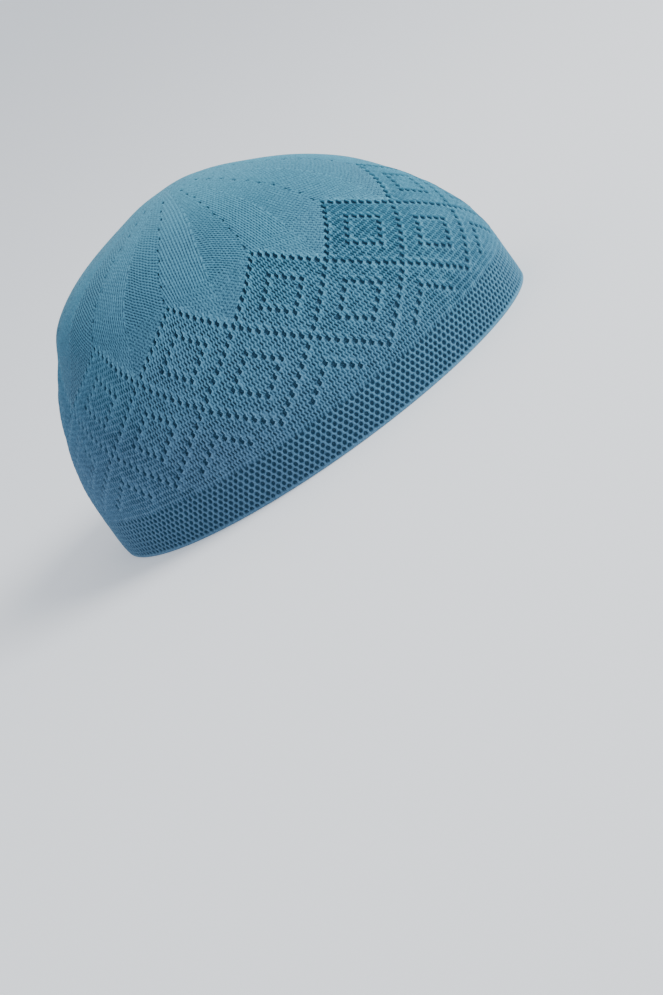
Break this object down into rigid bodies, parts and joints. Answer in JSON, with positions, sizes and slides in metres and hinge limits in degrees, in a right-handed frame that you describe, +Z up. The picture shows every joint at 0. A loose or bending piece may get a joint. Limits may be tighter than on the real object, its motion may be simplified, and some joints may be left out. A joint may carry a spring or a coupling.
{
  "type": "knitted chechia cap",
  "caption": "Soft close-fitting knitted cap, open at the rim, with a net edge band, a zone of openwork diamonds and a swirled close-knit crown.",
  "frame": {"origin": "centre of the rim plane, on the surface that the cap rests on", "axes": "+Z up through the crown, -Y towards the wearer's face, -X the wearer's right side"},
  "size_m": [0.1604, 0.2021, 0.1139],
  "materials": {
    "knit": "matte knitted yarn, blue-green"
  },
  "bodies": {
    "root": {"knitted_cap": "knit"}
  },
  "joints": []
}
